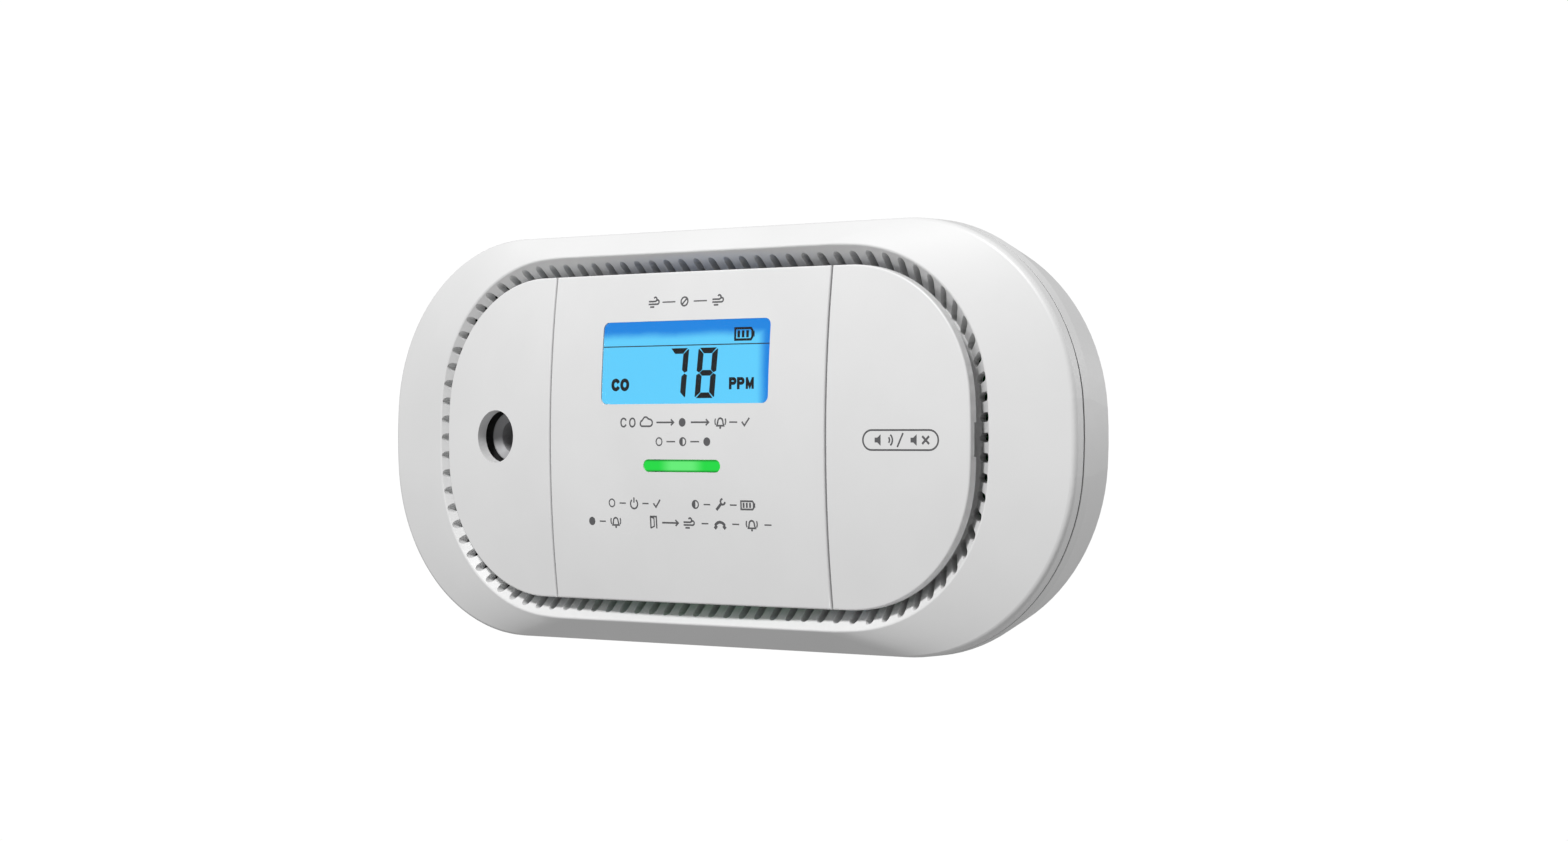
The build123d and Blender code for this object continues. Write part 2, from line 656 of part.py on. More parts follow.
def port_seal():
    """Black foam ring round the chimney, between the deck and the sounder panel."""
    return ring(*SOUNDER, PORT_SEAL_R, CHIMNEY_R + RUNNING, DECK_H, DECK_H + PORT_SEAL_T)


def sounder_gasket():
    return ring(*SOUNDER, 10.0, 9.2, DISC_SEAT_H - 0.3, DISC_SEAT_H)


def sounder_disc():
    return rod(*SOUNDER, 10.0, DISC_SEAT_H - 0.5, DISC_SEAT_H - 0.3)


def sounder_ceramic():
    return rod(*SOUNDER, 6.5, DISC_SEAT_H - 0.7, DISC_SEAT_H - 0.5)


def sounder_back():
    x, z = SOUNDER
    back = rod(x, z, SOUNDER_R, SOUNDER_BACK_H - 1.2, SOUNDER_BACK_H)
    back += block(x, LEAD_X + 0.9, -4, 4, SOUNDER_BACK_H - 1.2, SOUNDER_BACK_H)
    back += ring(x, z, 10.0, 8.6, SOUNDER_BACK_H, DISC_SEAT_H - 0.5)
    for lead_z in LEAD_Z:
        back -= rod(LEAD_X, lead_z, LEAD_R, SOUNDER_BACK_H - 2, SOUNDER_BACK_H + 1)
    return back


def sounder_leads():
    pins = [rod(LEAD_X, z, LEAD_R, SOUNDER_BACK_H - 1.2, BOARD_TOP_H) for z in LEAD_Z]
    return Part() + pins


def sensor_can():
    can = rod(*SENSOR, SENSOR_R, *SENSOR_H)
    can -= rod(*SENSOR, SENSOR_R - 0.6, SENSOR_H[0], SENSOR_H[1] - 0.7)
    for x, z in SENSOR_PINS:
        can -= rod(x, z, 0.9, SENSOR_H[1] - 1, SENSOR_H[1])
    return can


def sensor_cap():
    return ring(*SENSOR, SENSOR_R - 0.65, 1.6, SENSOR_H[0], SENSOR_H[0] + 1.2)


def sensor_filter():
    return rod(*SENSOR, SENSOR_R - 0.9, SENSOR_H[0] + 1.25, SENSOR_H[0] + 3.2)


def sensor_cell():
    return rod(*SENSOR, SENSOR_R - 0.8, SENSOR_H[0] + 3.3, SENSOR_H[1] - 0.8)


def sensor_pins():
    return Part() + [rod(x, z, 0.45, SENSOR_H[1] - 0.8, BOARD_TOP_H) for x, z in SENSOR_PINS]


def case_screws():
    """Four pan head screws that join the covers, driven from the back."""
    screws = []
    head_h = BAND_H - 2.2
    for x, z in four_ways(*CASE_SCREW):
        head = rod(x, z, 2.5, head_h - 1.7, head_h)
        head -= block(x - 1.5, x + 1.5, z - 0.3, z + 0.3, head_h - 1.7, head_h - 0.8)
        head -= block(x - 0.3, x + 0.3, z - 1.5, z + 1.5, head_h - 1.7, head_h - 0.8)
        screws.append(head + rod(x, z, 1.3, head_h, head_h + 7.5))
    return Part() + screws


def board_screws():
    """Four small screws that hold the board to the front cover's bosses."""
    screws = []
    for x, z in BOARD_SCREWS:
        head = rod(x, z, 2.0, BOARD_H - 1.4, BOARD_H)
        head -= block(x - 1.2, x + 1.2, z - 0.25, z + 0.25, BOARD_H - 1.4, BOARD_H - 0.7)
        head -= block(x - 0.25, x + 0.25, z - 1.2, z + 1.2, BOARD_H - 1.4, BOARD_H - 0.7)
        screws.append(head + rod(x, z, 1.0, BOARD_H, BOARD_H + 4.4))
    return Part() + screws


NODES = [
    wall_plate, rear_cover, front_cover, case_seal, centre_panel, sounder_panel, test_button,
    button_hinge_pin, dust_screen, display_window, display_gasket, display_glass, display_backlight,
    display_frame, zebra_strip, light_pipe, status_leds, circuit_board, board_chips, chip_pins,
    board_passives, capacitors, inductor, inductor_winding, test_switch_body, test_switch_plunger,
    port_seal, sounder_housing, sounder_gasket, sounder_disc, sounder_ceramic, sounder_back,
    sounder_leads, sensor_can, sensor_cap, sensor_filter, sensor_cell, sensor_pins, battery_cell,
    battery_sleeve, battery_contact_positive, battery_contact_negative, battery_door, battery_label,
    case_screws, board_screws,
]

os.makedirs("parts", exist_ok=True)
for make in NODES:
    export_step(make(), f"parts/{make.__name__}.step")
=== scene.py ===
import bmesh
import bpy
import json
import math
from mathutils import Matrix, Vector
from mathutils.bvhtree import BVHTree


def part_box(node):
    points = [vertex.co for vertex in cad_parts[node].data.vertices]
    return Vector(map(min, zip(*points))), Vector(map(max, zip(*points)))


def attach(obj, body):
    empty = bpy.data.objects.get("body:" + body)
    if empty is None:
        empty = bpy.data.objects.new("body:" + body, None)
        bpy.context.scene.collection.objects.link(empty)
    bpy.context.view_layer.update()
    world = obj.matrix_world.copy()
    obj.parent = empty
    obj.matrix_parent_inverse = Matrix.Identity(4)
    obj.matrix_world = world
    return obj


# Looks for the carbon monoxide alarm. Everything is in metres in the CAD frame:
# X along the alarm, Z up, and the front faces -Y. Print sizes are given in millimetres.
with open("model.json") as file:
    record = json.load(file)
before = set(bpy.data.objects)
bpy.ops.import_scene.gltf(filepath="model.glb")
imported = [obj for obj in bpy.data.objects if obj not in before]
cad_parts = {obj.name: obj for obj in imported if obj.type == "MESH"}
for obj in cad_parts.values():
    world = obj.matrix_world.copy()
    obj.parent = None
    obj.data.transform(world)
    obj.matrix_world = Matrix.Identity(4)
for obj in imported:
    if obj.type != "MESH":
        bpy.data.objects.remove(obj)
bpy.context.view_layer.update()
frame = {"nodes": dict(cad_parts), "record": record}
nodes = frame["nodes"]
scene = bpy.context.scene
MM = 0.001


# ---------------------------------------------------------------- materials

def linear(red, green, blue):
    """Linear colour from display values of 0 to 255."""
    def channel(value):
        value /= 255.0
        return value / 12.92 if value <= 0.04045 else ((value + 0.055) / 1.055) ** 2.4
    return (channel(red), channel(green), channel(blue), 1.0)


# A Mix node has a set of sockets for each data type, and these are its colour ones.
MIX_FIRST, MIX_SECOND, MIX_RESULT = 6, 7, 2
FINE_BUMP = 0.02 * MM


class Nodes:
    """Short way to build a material's node tree."""

    def __init__(self, name):
        self.material = bpy.data.materials.new(name)
        self.material.use_nodes = True
        self.tree = self.material.node_tree
        self.shader = self.tree.nodes["Principled BSDF"]
        coordinates = self.add("ShaderNodeTexCoord")
        self.place = coordinates.outputs["Object"]

    def add(self, kind, **settings):
        node = self.tree.nodes.new(kind)
        for key, value in settings.items():
            setattr(node, key, value)
        return node

    def link(self, source, target):
        self.tree.links.new(source, target)

    def noise(self, scale, detail=3.0):
        node = self.add("ShaderNodeTexNoise")
        node.inputs["Scale"].default_value = scale
        node.inputs["Detail"].default_value = detail
        self.link(self.place, node.inputs["Vector"])
        return node.outputs["Fac"]

    def ramp(self, factor, *stops):
        """Colour from a factor. Each of the two stops is a position and a linear colour."""
        node = self.add("ShaderNodeValToRGB")
        for element, (position, colour) in zip(node.color_ramp.elements, stops):
            element.position = position
            element.color = colour
        self.link(factor, node.inputs["Fac"])
        return node.outputs["Color"]

    def span(self, factor, low, high, to_low=0.0, to_high=1.0, smooth=False):
        """Maps a factor from one range to another."""
        node = self.add("ShaderNodeMapRange")
        if smooth:
            node.interpolation_type = "SMOOTHSTEP"
        node.inputs["From Min"].default_value = low
        node.inputs["From Max"].default_value = high
        node.inputs["To Min"].default_value = to_low
        node.inputs["To Max"].default_value = to_high
        self.link(factor, node.inputs["Value"])
        return node.outputs["Result"]

    def math(self, operation, first, second=0.0):
        """One sum on two values, or on the first alone. Each is a number or a socket."""
        node = self.add("ShaderNodeMath", operation=operation)
        for socket, value in zip(node.inputs, (first, second)):
            if isinstance(value, (int, float)):
                socket.default_value = value
            else:
                self.link(value, socket)
        return node.outputs["Value"]

    def axes(self):
        node = self.add("ShaderNodeSeparateXYZ")
        self.link(self.place, node.inputs["Vector"])
        return node.outputs

    def mix(self, factor, first, second):
        """Blend of two colours. Each is a linear colour or a socket."""
        node = self.add("ShaderNodeMix", data_type="RGBA")
        self.link(factor, node.inputs["Factor"])
        for socket, value in ((node.inputs[MIX_FIRST], first), (node.inputs[MIX_SECOND], second)):
            if isinstance(value, tuple):
                socket.default_value = value
            else:
                self.link(value, socket)
        return node.outputs[MIX_RESULT]

    def bump(self, height, strength, distance):
        node = self.add("ShaderNodeBump")
        node.inputs["Strength"].default_value = strength
        node.inputs["Distance"].default_value = distance
        self.link(height, node.inputs["Height"])
        self.link(node.outputs["Normal"], self.shader.inputs["Normal"])

    def set(self, **values):
        for key, value in values.items():
            self.shader.inputs[key.replace("_", " ")].default_value = value


def shade(colour, factor):
    """A darker or lighter version of a colour."""
    return tuple(min(1.0, channel * factor) for channel in colour[:3]) + (1.0,)


def moulded(name, colour, roughness=0.5, grain=2600.0, **values):
    """Moulded plastic: fine sparked grain, faint flow mottling and uneven gloss."""
    made = Nodes(name)
    soft = made.noise(60.0, 4.0)
    fine = made.noise(grain, 2.0)
    mottled = made.ramp(soft, (0.3, shade(colour, 0.97)), (0.7, shade(colour, 1.015)))
    made.link(mottled, made.shader.inputs["Base Color"])
    made.link(made.span(fine, 0.2, 0.8, roughness - 0.05, roughness + 0.07), made.shader.inputs["Roughness"])
    made.bump(fine, 0.12, FINE_BUMP)
    made.set(**values)
    return made.material


def metal(name, colour, roughness=0.35, scratch=900.0):
    """Plated or rolled metal with fine directional wear."""
    made = Nodes(name)
    stretch = made.add("ShaderNodeMapping")
    stretch.inputs["Scale"].default_value = (1.0, 1.0, 0.08)
    made.link(made.place, stretch.inputs["Vector"])
    lines = made.add("ShaderNodeTexNoise")
    lines.inputs["Scale"].default_value = scratch
    made.link(stretch.outputs["Vector"], lines.inputs["Vector"])
    worn = made.ramp(lines.outputs["Fac"], (0.25, shade(colour, 0.82)), (0.75, shade(colour, 1.06)))
    made.link(worn, made.shader.inputs["Base Color"])
    rough = made.span(lines.outputs["Fac"], 0.2, 0.8, roughness - 0.08, roughness + 0.12)
    made.link(rough, made.shader.inputs["Roughness"])
    made.bump(lines.outputs["Fac"], 0.08, FINE_BUMP)
    made.set(Metallic=1.0)
    return made.material


def woven(name, colour, pitch):
    """Woven mesh or felt: two crossed waves."""
    made = Nodes(name)
    axis = made.axes()
    turn = 2 * math.pi / pitch
    across = made.math("SINE", made.math("MULTIPLY", axis["X"], turn))
    upward = made.math("SINE", made.math("MULTIPLY", axis["Z"], turn))
    weave = made.math("MULTIPLY", across, upward)
    threads = made.ramp(made.span(weave, -1, 1), (0.2, shade(colour, 0.6)), (0.8, shade(colour, 1.2)))
    made.link(threads, made.shader.inputs["Base Color"])
    made.bump(weave, 0.3, 0.05 * MM)
    made.set(Roughness=0.85)
    return made.material


def clear_lens(name):
    """Clear moulded acrylic with a faint change of polish."""
    made = Nodes(name)
    made.link(made.span(made.noise(140.0), 0.3, 0.7, 0.02, 0.05), made.shader.inputs["Roughness"])
    tint = made.ramp(made.noise(30.0), (0.3, (0.985, 0.99, 1.0, 1.0)), (0.7, (1.0, 1.0, 1.0, 1.0)))
    made.link(tint, made.shader.inputs["Base Color"])
    made.set(Transmission_Weight=1.0, IOR=1.49, Specular_IOR_Level=0.15)
    return made.material


def lcd_light(name):
    """Backlit panel: even cyan, with painted shade that deepens it to blue along the top and the right side,
    where the walls of the window would shade it.
    """
    made = Nodes(name)
    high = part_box("display_window")[1]
    axis = made.axes()
    ripple = made.math("MULTIPLY", made.span(made.noise(260.0), 0.0, 1.0, -1.0, 1.0), 0.3 * MM)
    height = made.math("ADD", axis["Z"], ripple)
    width = made.math("ADD", axis["X"], ripple)
    # Painted shade: the glow is darkened to deep blue near the top and the right of the window, in place of
    # the shade cast by the recess walls.
    painted_shade_top = made.span(height, high.z - 2.8 * MM, high.z - 1.2 * MM, 0.0, 1.0, smooth=True)
    painted_shade_right = made.span(width, high.x - 2.9 * MM, high.x - 0.9 * MM, 0.0, 1.0, smooth=True)
    painted_edge_shade = made.math("MAXIMUM", painted_shade_top, painted_shade_right)
    glow = made.mix(painted_edge_shade, linear(94, 208, 255), linear(0, 132, 226))
    made.link(glow, made.shader.inputs["Emission Color"])
    made.set(Base_Color=linear(0, 6, 10), Roughness=0.5, Specular_IOR_Level=0.1, Emission_Strength=1.05)
    return made.material


def lit_pipe(name):
    """Green light pipe, brightest over the middle chips and darker at its rim."""
    made = Nodes(name)
    low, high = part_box("light_pipe")
    middle = (low + high) / 2
    axis = made.axes()
    along = made.math("ABSOLUTE", made.math("SUBTRACT", axis["X"], middle.x))
    across = made.math("ABSOLUTE", made.math("SUBTRACT", axis["Z"], middle.z))
    core = made.span(along, 1.6 * MM, 4.4 * MM, 1.0, 0.0, smooth=True)
    body = made.mix(core, linear(28, 214, 66), linear(104, 236, 122))
    rim = made.span(across, 0.5 * MM, 0.82 * MM, 0.0, 1.0, smooth=True)
    glow = made.mix(rim, body, linear(22, 140, 44))
    made.link(glow, made.shader.inputs["Emission Color"])
    made.set(Base_Color=linear(10, 90, 25), Roughness=0.25, Emission_Strength=0.9)
    return made.material


def solder_mask(name):
    """Green board: buried copper tracks show as paler lines under the mask."""
    made = Nodes(name)
    tracks = made.add("ShaderNodeTexBrick")
    tracks.inputs["Scale"].default_value = 260.0
    tracks.inputs["Mortar Size"].default_value = 0.035
    tracks.inputs["Color1"].default_value = linear(14, 84, 44)
    tracks.inputs["Color2"].default_value = linear(12, 76, 40)
    tracks.inputs["Mortar"].default_value = linear(38, 120, 62)
    turned = made.add("ShaderNodeMapping")
    turned.inputs["Rotation"].default_value = (math.pi / 2, 0, 0)
    made.link(made.place, turned.inputs["Vector"])
    made.link(turned.outputs["Vector"], tracks.inputs["Vector"])
    made.link(tracks.outputs["Color"], made.shader.inputs["Base Color"])
    made.bump(tracks.outputs["Fac"], 0.2, 0.03 * MM)
    made.set(Roughness=0.35)
    return made.material


WHITE = linear(236, 236, 236)
SLOT_MATERIALS = {
    "white_plastic": moulded("white_plastic_look", WHITE, 0.42),
    "grey_plastic": moulded("grey_plastic_look", linear(158, 158, 160), 0.45),
    "black_plastic": moulded("black_plastic_look", linear(34, 34, 36), 0.5),
    "clear_window": clear_lens("clear_window_look"),
    "lcd_glass": lcd_light("lcd_light_look"),
    "diffuser": moulded("diffuser_look", linear(228, 238, 250), 0.35),
    "light_pipe": lit_pipe("light_pipe_look"),
    "led_chip": moulded("led_chip_look", linear(246, 244, 216), 0.3),
    "circuit_board": solder_mask("circuit_board_look"),
    "chip_resin": moulded("chip_resin_look", linear(30, 30, 31), 0.55),
    "tinned_metal": metal("tinned_metal_look", linear(205, 205, 200), 0.3),
    "chip_ceramic": moulded("chip_ceramic_look", linear(176, 152, 118), 0.6),
    "capacitor_sleeve": moulded("capacitor_sleeve_look", linear(28, 34, 66), 0.3),
    "ferrite": moulded("ferrite_look", linear(58, 58, 60), 0.75, grain=1500.0),
    "copper_winding": metal("copper_winding_look", linear(198, 116, 66), 0.3, scratch=2500.0),
    "steel": metal("steel_look", linear(186, 187, 189), 0.35),
    "spring_steel": metal("spring_steel_look", linear(214, 210, 200), 0.22),
    "brass_disc": metal("brass_disc_look", linear(212, 176, 98), 0.32),
    "piezo_ceramic": moulded("piezo_ceramic_look", linear(214, 208, 196), 0.4),
    "rubber_black": moulded("rubber_black_look", linear(30, 30, 30), 0.8, grain=1800.0),
    "rubber_grey": moulded("rubber_grey_look", linear(84, 84, 86), 0.8, grain=1800.0),
    "mesh": woven("mesh_look", linear(38, 38, 38), 0.5 * MM),
    "felt": woven("felt_look", linear(226, 224, 214), 0.8 * MM),
    "cell_sleeve": moulded("cell_sleeve_look", linear(42, 84, 150), 0.28),
    "label": moulded("label_look", linear(226, 226, 222), 0.45),
}


def dress_cad_nodes():
    for subpart in frame["record"]["subparts"]:
        mesh = nodes[subpart["node"]].data
        mesh.materials.clear()
        mesh.materials.append(SLOT_MATERIALS[subpart["material_slot"]])


# ---------------------------------------------------------------- flat drawing, in millimetres

THIN = 0.24
SLIM = THIN * 0.8
SHARPEST_MITRE = 0.4


def arc(x, z, radius, start, end, steps=12):
    """Points along an arc. Angles are in degrees, from +X towards +Z."""
    points = []
    for index in range(steps + 1):
        angle = math.radians(start + (end - start) * index / steps)
        points.append((x + radius * math.cos(angle), z + radius * math.sin(angle)))
    return points


def line(start, end, step=1.2):
    """Points along a straight line, close enough together to follow a curved surface."""
    length = math.dist(start, end)
    count = max(1, math.ceil(length / step))
    shares = [index / count for index in range(count + 1)]
    return [(start[0] + (end[0] - start[0]) * t, start[1] + (end[1] - start[1]) * t) for t in shares]


def stroke(points, width, closed=False):
    """Quads of an even-width line with mitred corners."""
    path = [Vector(point) for point in points]
    count = len(path)
    left, right = [], []
    for index, point in enumerate(path):
        before = path[index - 1] if index or closed else None
        after = path[(index + 1) % count] if index < count - 1 or closed else None
        ahead = (after - point).normalized() if after else (point - before).normalized()
        behind = (point - before).normalized() if before else ahead
        normal = Vector((-(ahead.y + behind.y), ahead.x + behind.x)).normalized()
        reach = width / 2 / max(SHARPEST_MITRE, normal.dot(Vector((-ahead.y, ahead.x))))
        left.append(point + normal * reach)
        right.append(point - normal * reach)
    last = count if closed else count - 1
    return [
        (left[index], right[index], right[(index + 1) % count], left[(index + 1) % count])
        for index in range(last)
    ]


def disc(x, z, radius, steps=20):
    return [arc(x, z, radius, 0, 360 - 360 / steps, steps - 1)]


def circle(x, z, radius, width, steps=28):
    return stroke(arc(x, z, radius, 0, 360 - 360 / steps, steps - 1), width, closed=True)


def pill(x, z, length, height, width):
    """Outline of a stadium."""
    radius = height / 2
    half = length / 2 - radius
    points = arc(x + half, z, radius, -90, 90, 14)
    points += line((x + half, z + radius), (x - half, z + radius))[1:-1]
    points += arc(x - half, z, radius, 90, 270, 14)
    points += line((x - half, z - radius), (x + half, z - radius))[1:-1]
    return stroke(points, width, closed=True)


def shifted(faces, x, z, scale=1.0):
    return [[(x + scale * point[0], z + scale * point[1]) for point in face] for face in faces]


def bell(x, z):
    """Alarm bell with a sound arc on each side."""
    dome = [(-0.62, -0.5), (-0.5, -0.2)] + arc(0, 0.12, 0.44, 180, 0, 8) + [(0.5, -0.2), (0.62, -0.5)]
    faces = stroke(dome, THIN, closed=True) + disc(0, -0.78, 0.17, 12)
    faces += stroke(arc(0, 0.1, 0.95, 25, -30, 6), THIN * 0.9)
    faces += stroke(arc(0, 0.1, 0.95, 155, 210, 6), THIN * 0.9)
    return shifted(faces, x, z)


def power(x, z):
    """Power mark."""
    faces = stroke(arc(0, -0.08, 0.68, 125, 415, 20), THIN) + stroke([(0, 0.1), (0, 0.85)], THIN)
    return shifted(faces, x, z)


def wrench(x, z):
    """Spanner with open jaws, lying at an angle."""
    faces = stroke(arc(0.45, 0.45, 0.4, 95, 355, 12), THIN * 1.2)
    faces += stroke([(0.17, 0.17), (-0.72, -0.72)], THIN * 1.7)
    return shifted(faces, x, z)


def cloud(x, z):
    """Gas cloud."""
    points = arc(-0.75, -0.15, 0.42, 250, 110, 8) + arc(-0.15, 0.22, 0.56, 150, 35, 8)
    points += arc(0.62, -0.05, 0.5, 80, -80, 8)
    return shifted(stroke(points, THIN, closed=True), x, z)


def breeze(x, z):
    """Three lines of moving air."""
    faces = stroke([(-0.9, 0.15), (0.3, 0.15)] + arc(0.3, 0.45, 0.3, -80, 150, 8), THIN)
    faces += stroke([(-0.9, -0.25), (0.75, -0.25)] + arc(0.75, 0.05, 0.3, -80, 120, 8), THIN)
    return shifted(faces + stroke([(-0.6, -0.65), (0.2, -0.65)], THIN), x, z)


def arrow(x, z, length):
    """Arrow that points along +X."""
    half = length / 2
    faces = stroke([(-half, 0), (half - 0.1, 0)], THIN)
    return shifted(faces + stroke([(half - 0.5, 0.42), (half, 0), (half - 0.5, -0.42)], THIN), x, z)


def doorway(x, z):
    """Open door with its frame."""
    faces = stroke([(-0.55, -0.85), (-0.55, 0.85), (0.55, 0.85), (0.55, -0.85)], THIN)
    return shifted(faces + stroke([(-0.55, -0.8), (0.1, -0.55), (0.1, 0.6), (-0.5, 0.8)], SLIM), x, z)


def handset(x, z):
    """Telephone handset."""
    faces = stroke(arc(0, -0.75, 1.0, 150, 30, 10), THIN * 1.7)
    faces += stroke([(-0.95, -0.3), (-0.6, -0.62)], THIN * 2.4)
    return shifted(faces + stroke([(0.6, -0.62), (0.95, -0.3)], THIN * 2.4), x, z)


def speaker(x, z):
    """Loudspeaker that faces +X."""
    body = [[(-0.55, -0.26), (-0.22, -0.26), (0.2, -0.62), (0.2, 0.62), (-0.22, 0.26), (-0.55, 0.26)]]
    return shifted(body, x, z)


def waves(x, z):
    """Two sound waves."""
    faces = stroke(arc(-0.2, 0, 0.42, -45, 45, 6), SLIM)
    return shifted(faces + stroke(arc(-0.2, 0, 0.78, -48, 48, 8), SLIM), x, z)


def tick(x, z):
    return shifted(stroke([(-0.6, 0.05), (-0.15, -0.5), (0.7, 0.6)], THIN), x, z)


def cross(x, z, half):
    faces = stroke([(-half, -half), (half, half)], THIN)
    return shifted(faces + stroke([(-half, half), (half, -half)], THIN), x, z)


def dash(x, z, length):
    return stroke(line((x - length / 2, z), (x + length / 2, z)), SLIM)


EMPTY, HALF, FULL = range(3)


def status_dot(x, z, fill):
    """Ring, half-filled ring or full dot for the three states of the light."""
    if fill == FULL:
        return disc(x, z, 0.62)
    faces = circle(x, z, 0.55, SLIM)
    if fill == HALF:
        faces += [arc(x, z, 0.5, 90, 270, 12)]
    return faces


# ---------------------------------------------------------------- printed and lit pieces

IN_THE_ROOM = -0.1
WELD = 1e-7


class Surface:
    """Front of a CAD node, found by looking straight at it from the room."""

    def __init__(self, node):
        mesh = nodes[node].data
        corners = [vertex.co for vertex in mesh.vertices]
        self.tree = BVHTree.FromPolygons(corners, [polygon.vertices for polygon in mesh.polygons])

    def y_at(self, x, z):
        hit = self.tree.ray_cast(Vector((x, IN_THE_ROOM, z)), Vector((0, 1, 0)))
        return hit[0].y


def in_order(made):
    """Corners, no loose edges, and faces of a bmesh, sorted so that every run lists them alike."""
    corners = sorted(made.verts, key=lambda vertex: tuple(vertex.co))
    place = {corner: index for index, corner in enumerate(corners)}
    faces = [[place[corner] for corner in face.verts] for face in made.faces]
    return [tuple(corner.co) for corner in corners], [], sorted(faces, key=sorted)


def film(name, faces, y_at, proud, depth, material, body):
    """Closed film of flat shapes on a surface: its front is proud of it and its back is buried."""
    made = bmesh.new()
    for face in faces:
        corners = [made.verts.new((point[0] * MM, 0, point[1] * MM)) for point in face]
        made.faces.new(corners)
    bmesh.ops.remove_doubles(made, verts=made.verts, dist=WELD)
    bmesh.ops.recalc_face_normals(made, faces=made.faces)
    top = list(made.faces)
    for face in top:
        if face.normal.y > 0:
            face.normal_flip()
    lower = bmesh.ops.extrude_face_region(made, geom=top)["geom"]
    lowered = {item for item in lower if isinstance(item, bmesh.types.BMVert)}
    for vertex in made.verts:
        surface = y_at(vertex.co.x, vertex.co.z)
        vertex.co.y = surface + depth if vertex not in lowered else surface - proud
    bmesh.ops.recalc_face_normals(made, faces=made.faces)
    mesh = bpy.data.meshes.new(name)
    mesh.from_pydata(*in_order(made))
    made.free()
    piece = bpy.data.objects.new(name, mesh)
    scene.collection.objects.link(piece)
    mesh.materials.append(material)
    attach(piece, body)


INK = moulded("ink_look", linear(96, 96, 98), 0.55, grain=5000.0)
PRINT_PROUD = 0.012 * MM
PRINT_DEPTH = 0.05 * MM


def centre_print():
    """Language-free legend: what the alarm senses, and what each state of the light means."""
    top_z, title_z, under_z, first_z, second_z = 19.4, 2.15, -0.6, -9.5, -12.2
    faces = breeze(-5.6, top_z) + dash(-2.7, top_z, 2.4) + circle(0.2, top_z, 0.62, THIN)
    faces += stroke([(-0.22, top_z - 0.42), (0.62, top_z + 0.42)], THIN)
    faces += dash(3.1, top_z, 2.4) + breeze(6.2, top_z)
    faces += letter_c(-10.4, title_z, 1.0, 1.2, THIN) + letter_o(-8.7, title_z, 1.0, 1.2, THIN)
    faces += cloud(-6.0, title_z) + arrow(-2.5, title_z, 3.2) + status_dot(0.7, title_z, FULL)
    faces += arrow(3.9, title_z, 3.2) + bell(7.6, title_z) + dash(9.9, title_z, 1.4) + tick(12.0, title_z)
    faces += status_dot(-3.6, under_z, EMPTY) + dash(-1.4, under_z, 1.6) + status_dot(0.8, under_z, HALF)
    faces += dash(3.0, under_z, 1.6) + status_dot(5.2, under_z, FULL)
    faces += status_dot(-12.9, first_z, EMPTY) + dash(-10.8, first_z, 1.2) + power(-8.6, first_z)
    faces += dash(-6.4, first_z, 1.2) + tick(-4.3, first_z)
    faces += status_dot(2.9, first_z, HALF) + dash(5.0, first_z, 1.2) + wrench(7.4, first_z)
    faces += dash(9.7, first_z, 1.2) + shifted(battery_mark(0, 0), 12.2, first_z, 0.72)
    faces += status_dot(-17.0, second_z, FULL) + dash(-14.9, second_z, 1.2) + bell(-12.3, second_z)
    faces += doorway(-5.0, second_z) + arrow(-1.9, second_z, 3.0) + breeze(1.5, second_z)
    faces += dash(4.5, second_z, 1.2) + handset(7.2, second_z) + dash(10.0, second_z, 1.2)
    faces += bell(12.8, second_z) + dash(15.6, second_z, 1.2)
    surface = Surface("centre_panel")
    film("centre_print", faces, surface.y_at, PRINT_PROUD, PRINT_DEPTH, INK, "alarm")


def button_print():
    """Pill outline with a sounding and a silenced speaker: test, and hush."""
    x, z = 37.45, -0.35
    faces = pill(x, z, 11.7, 2.7, 0.24)
    faces += shifted(speaker(0, 0) + waves(1.1, 0), x - 3.3, z, 1.25)
    faces += stroke([(x - 0.45, z - 0.95), (x + 0.45, z + 0.95)], THIN)
    faces += shifted(speaker(0, 0) + cross(1.3, 0, 0.42), x + 2.3, z, 1.25)
    surface = Surface("test_button")
    film("button_print", faces, surface.y_at, PRINT_PROUD, PRINT_DEPTH, INK, "test_button")


# ---------------------------------------------------------------- display segments

SEGMENT = moulded("lcd_segment_look", linear(2, 6, 14), 0.5, grain=5000.0, Specular_IOR_Level=0.1)
LETTERS = moulded("lcd_letter_look", linear(10, 40, 66), 0.5, grain=5000.0)
SLANT = 0.09
DIGIT_W, DIGIT_H, UPRIGHT_T, LEVEL_T = 3.55, 7.15, 0.98, 0.8
BAR_GAP = 0.06
CORNER, CORNER_IN, CORNER_UP = 0.2, 0.12, 0.08
LIT = {"7": "abc", "8": "abcdefg"}


def segment(name):
    """One bar of a seven-segment digit, centred on the digit, with mitred ends."""
    half_w, half_h = (DIGIT_W - UPRIGHT_T) / 2, (DIGIT_H - LEVEL_T) / 2
    thick, level = UPRIGHT_T / 2, LEVEL_T / 2
    if name == "g":
        tip = half_w - BAR_GAP
        return [
            (-tip, 0), (-tip + thick, level), (tip - thick, level),
            (tip, 0), (tip - thick, -level), (-tip + thick, -level),
        ]
    if name in "ad":
        outward = 1 if name == "a" else -1
        wide, narrow = half_w + thick - CORNER - BAR_GAP, half_w - thick - BAR_GAP
        return [
            (-wide, outward * (half_h + level)), (wide, outward * (half_h + level)),
            (narrow, outward * (half_h - level)), (-narrow, outward * (half_h - level)),
        ]
    side = 1 if name in "bc" else -1
    upward = 1 if name in "bf" else -1
    outer, inner = half_w + thick, half_w - thick
    return [
        (side * outer, upward * (BAR_GAP + level * 0.55)),
        (side * outer, upward * (half_h + level - CORNER - BAR_GAP)),
        (side * (outer - CORNER_IN), upward * (half_h + level - CORNER_UP - BAR_GAP)),
        (side * inner, upward * (half_h - level - BAR_GAP)),
        (side * inner, upward * (BAR_GAP + level)), (side * half_w, upward * BAR_GAP),
    ]


